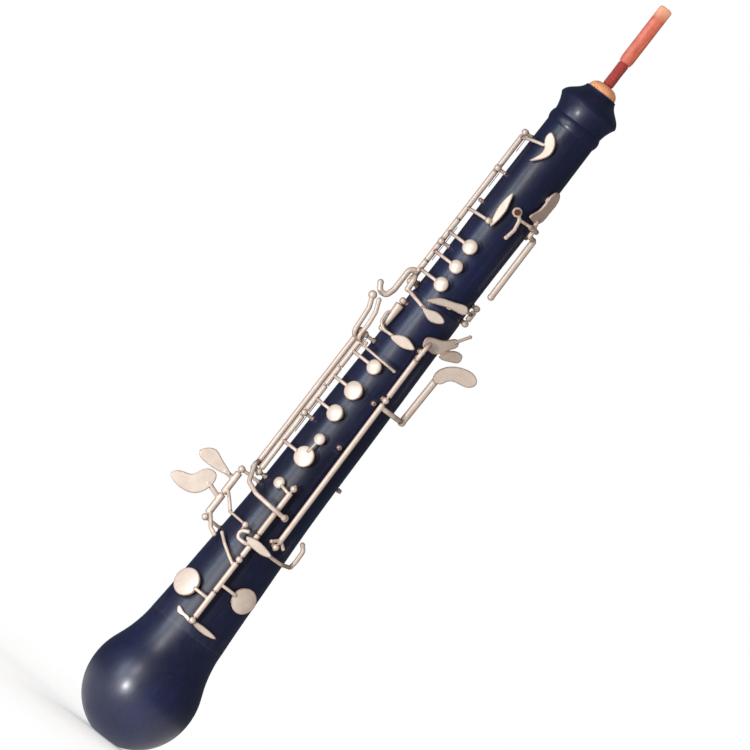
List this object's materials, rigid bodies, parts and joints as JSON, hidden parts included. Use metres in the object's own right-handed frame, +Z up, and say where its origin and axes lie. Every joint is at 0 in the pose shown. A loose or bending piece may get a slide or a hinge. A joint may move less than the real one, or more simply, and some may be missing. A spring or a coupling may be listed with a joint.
{
  "type": "oboe",
  "caption": "Oboe with a dark wooden body, bulb bell, silver key work on hinge rods and a double reed; joints pull apart and keys pivot.",
  "frame": {"origin": "centre of the bell rim, in the plane of the rim", "axes": "+Z up the bore from the bell to the reed tip, -Y towards the listener so the keys face -Y, +X to the right when looking along +Y at the keys"},
  "size_m": [0.1503, 0.094, 0.736],
  "materials": {
    "stained_wood": "gloss",
    "key_silver": "polished silver plate",
    "rod_steel": "polished",
    "spring_steel": "blued",
    "pad_skin": "matte",
    "cork": "matte cork",
    "reed_cork": "satin cork",
    "thread": "waxed thread",
    "cane": "satin stained cane",
    "staple_brass": "satin",
    "copper": "aged copper"
  },
  "bodies": {
    "bell": {"bell": "stained_wood"},
    "lower_joint": {"lower_joint": "stained_wood", "lower_tenon_cork": "cork", "lower_posts": "key_silver", "lower_long_rods": "rod_steel", "lower_short_rods": "rod_steel", "lower_springs": "spring_steel", "thumb_rest": "key_silver", "thumb_rest_screws": "rod_steel"},
    "upper_joint": {"upper_joint": "stained_wood", "upper_tenon_cork": "cork", "upper_posts": "key_silver", "upper_long_rods": "rod_steel", "upper_short_rods": "rod_steel", "upper_springs": "spring_steel", "octave_saddle": "key_silver", "octave_saddle_screw": "copper"},
    "reed": {"reed_staple": "staple_brass", "reed_cork": "reed_cork", "reed_thread": "thread", "reed_blades": "cane"},
    "bridge_key": {"bridge_key": "key_silver"},
    "g_key": {"g_key": "key_silver", "g_key_pad": "pad_skin"},
    "a_key": {"a_key": "key_silver", "a_key_pad": "pad_skin"},
    "c_key": {"c_key": "key_silver", "c_key_pad": "pad_skin"},
    "half_hole_key": {"half_hole_key": "key_silver", "half_hole_key_pad": "pad_skin"},
    "trill_key": {"trill_key": "key_silver", "trill_key_pad": "pad_skin"},
    "g_sharp_key": {"g_sharp_key": "key_silver", "g_sharp_key_pad": "pad_skin"},
    "thumb_octave_key": {"thumb_octave_key": "key_silver", "thumb_octave_key_pad": "pad_skin"},
    "f_sharp_key": {"f_sharp_key": "key_silver", "f_sharp_key_pad": "pad_skin"},
    "e_key": {"e_key": "key_silver", "e_key_pad": "pad_skin"},
    "d_key": {"d_key": "key_silver", "d_key_pad": "pad_skin"},
    "d_vent_key": {"d_vent_key": "key_silver", "d_vent_key_pad": "pad_skin"},
    "left_b_flat_key": {"left_b_flat_key": "key_silver", "left_b_flat_key_pad": "pad_skin"},
    "forked_f_key": {"forked_f_key": "key_silver"},
    "e_flat_lever": {"e_flat_lever": "key_silver"},
    "low_b_lever": {"low_b_lever": "key_silver"},
    "c_touch": {"c_touch": "key_silver"},
    "c_sharp_touch": {"c_sharp_touch": "key_silver"},
    "low_b_key": {"low_b_key": "key_silver", "low_b_key_pad": "pad_skin"},
    "low_c_key": {"low_c_key": "key_silver", "low_c_key_pad": "pad_skin"},
    "low_rocker": {"low_rocker": "key_silver"},
    "c_sharp_vent_key": {"c_sharp_vent_key": "key_silver", "c_sharp_vent_key_pad": "pad_skin"},
    "side_octave_key": {"side_octave_key": "key_silver", "side_octave_key_pad": "pad_skin"}
  },
  "joints": [
    {"name": "bell_tenon_slide", "type": "slide", "parent": "bell", "child": "lower_joint", "axis": [0, 0, 1], "range_m": [0, 0.022]},
    {"name": "middle_tenon_slide", "type": "slide", "parent": "lower_joint", "child": "upper_joint", "axis": [0, 0, 1], "range_m": [0, 0.022]},
    {"name": "reed_slide", "type": "slide", "parent": "upper_joint", "child": "reed", "axis": [0, 0, 1], "range_m": [0, 0.026]},
    {"name": "bridge_key_hinge", "type": "hinge", "parent": "upper_joint", "child": "bridge_key", "pos_m": [-0.0292, -0.009, 0.4437], "axis": [0, 0, 1], "range_deg": [0, 3], "stiffness_Nm_per_rad": 0.02},
    {"name": "g_key_hinge", "type": "hinge", "parent": "upper_joint", "child": "g_key", "pos_m": [-0.0292, -0.009, 0.4529], "axis": [0, 0, 1], "range_deg": [0, 5], "stiffness_Nm_per_rad": 0.02},
    {"name": "a_key_hinge", "type": "hinge", "parent": "upper_joint", "child": "a_key", "pos_m": [-0.0292, -0.009, 0.4672], "axis": [0, 0, 1], "range_deg": [0, 5], "stiffness_Nm_per_rad": 0.02},
    {"name": "c_key_hinge", "type": "hinge", "parent": "upper_joint", "child": "c_key", "pos_m": [-0.0292, -0.009, 0.4908], "axis": [0, 0, 1], "range_deg": [0, 5], "stiffness_Nm_per_rad": 0.02},
    {"name": "half_hole_key_hinge", "type": "hinge", "parent": "upper_joint", "child": "half_hole_key", "pos_m": [-0.0292, -0.009, 0.5249], "axis": [0, 0, 1], "range_deg": [0, 4], "stiffness_Nm_per_rad": 0.02},
    {"name": "trill_key_hinge", "type": "hinge", "parent": "upper_joint", "child": "trill_key", "pos_m": [-0.0292, -0.0016, 0.5143], "axis": [0, 0, 1], "range_deg": [-6, 0], "stiffness_Nm_per_rad": 0.02},
    {"name": "g_sharp_key_hinge", "type": "hinge", "parent": "upper_joint", "child": "g_sharp_key", "pos_m": [0.0262, -0.005, 0.445], "axis": [0, 0, 1], "range_deg": [0, 5], "stiffness_Nm_per_rad": 0.02},
    {"name": "thumb_octave_key_hinge", "type": "hinge", "parent": "upper_joint", "child": "thumb_octave_key", "pos_m": [0.014, 0.024, 0.522], "axis": [0, 0, 1], "range_deg": [0, 6], "stiffness_Nm_per_rad": 0.02},
    {"name": "f_sharp_key_hinge", "type": "hinge", "parent": "lower_joint", "child": "f_sharp_key", "pos_m": [-0.032, -0.0145, 0.3642], "axis": [0, 0, 1], "range_deg": [0, 5], "stiffness_Nm_per_rad": 0.02},
    {"name": "e_key_hinge", "type": "hinge", "parent": "lower_joint", "child": "e_key", "pos_m": [-0.032, -0.0145, 0.34], "axis": [0, 0, 1], "range_deg": [0, 5], "stiffness_Nm_per_rad": 0.02},
    {"name": "d_key_hinge", "type": "hinge", "parent": "lower_joint", "child": "d_key", "pos_m": [-0.032, -0.0145, 0.3181], "axis": [0, 0, 1], "range_deg": [0, 5], "stiffness_Nm_per_rad": 0.02},
    {"name": "d_vent_key_hinge", "type": "hinge", "parent": "lower_joint", "child": "d_vent_key", "pos_m": [-0.032, -0.0145, 0.2734], "axis": [0, 0, 1], "range_deg": [0, 5], "stiffness_Nm_per_rad": 0.02},
    {"name": "left_b_flat_key_hinge", "type": "hinge", "parent": "lower_joint", "child": "left_b_flat_key", "pos_m": [-0.037, -0.008, 0.3127], "axis": [0, 0, 1], "range_deg": [-3, 0], "stiffness_Nm_per_rad": 0.02},
    {"name": "forked_f_key_hinge", "type": "hinge", "parent": "lower_joint", "child": "forked_f_key", "pos_m": [-0.0242, -0.0145, 0.408], "axis": [0, 0, 1], "range_deg": [0, 3], "stiffness_Nm_per_rad": 0.02},
    {"name": "e_flat_lever_hinge", "type": "hinge", "parent": "lower_joint", "child": "e_flat_lever", "pos_m": [0.01318, -0.02746, 0.3741], "axis": [-0.014, 0.017, 0.9998], "range_deg": [0, 4], "stiffness_Nm_per_rad": 0.02},
    {"name": "low_b_lever_hinge", "type": "hinge", "parent": "lower_joint", "child": "low_b_lever", "pos_m": [0.01454, -0.02911, 0.277], "axis": [-0.014, 0.017, 0.9998], "range_deg": [0, 7.3], "stiffness_Nm_per_rad": 0.02},
    {"name": "c_touch_hinge", "type": "hinge", "parent": "lower_joint", "child": "c_touch", "pos_m": [-0.044, -0.008, 0.2017], "axis": [0, 0, 1], "range_deg": [-8.4, 0], "stiffness_Nm_per_rad": 0.02},
    {"name": "c_sharp_touch_hinge", "type": "hinge", "parent": "lower_joint", "child": "c_sharp_touch", "pos_m": [-0.044, -0.008, 0.2228], "axis": [0, 0, 1], "range_deg": [-4.3, 0], "stiffness_Nm_per_rad": 0.02},
    {"name": "low_b_key_hinge", "type": "hinge", "parent": "lower_joint", "child": "low_b_key", "pos_m": [-0.0015, -0.03851, 0.1338], "axis": [0, 0.047, 0.9989], "range_deg": [-5, 0], "stiffness_Nm_per_rad": 0.02},
    {"name": "low_c_key_hinge", "type": "hinge", "parent": "lower_joint", "child": "low_c_key", "pos_m": [-0.0015, -0.03722, 0.1613], "axis": [0, 0.047, 0.9989], "range_deg": [0, 5], "stiffness_Nm_per_rad": 0.02},
    {"name": "low_rocker_hinge", "type": "hinge", "parent": "lower_joint", "child": "low_rocker", "pos_m": [-0.0015, -0.03574, 0.1928], "axis": [0, 0.047, 0.9989], "range_deg": [0, 2], "stiffness_Nm_per_rad": 0.02},
    {"name": "c_sharp_vent_key_hinge", "type": "hinge", "parent": "lower_joint", "child": "c_sharp_vent_key", "pos_m": [-0.0015, -0.03421, 0.2251], "axis": [0, 0.047, 0.9989], "range_deg": [0, 5], "stiffness_Nm_per_rad": 0.02},
    {"name": "side_octave_key_hinge", "type": "hinge", "parent": "upper_joint", "child": "side_octave_key", "pos_m": [0.02343, -0.0164, 0.53], "axis": [0.5736, 0.8192, 0], "range_deg": [0, 3.5], "stiffness_Nm_per_rad": 0.05}
  ],
  "couplings": [
    {"joint": "c_touch_hinge", "follows": "low_c_key_hinge", "ratio": -1.667},
    {"joint": "c_sharp_touch_hinge", "follows": "low_rocker_hinge", "ratio": -2.1},
    {"joint": "low_b_lever_hinge", "follows": "low_rocker_hinge", "ratio": 3.6}
  ]
}
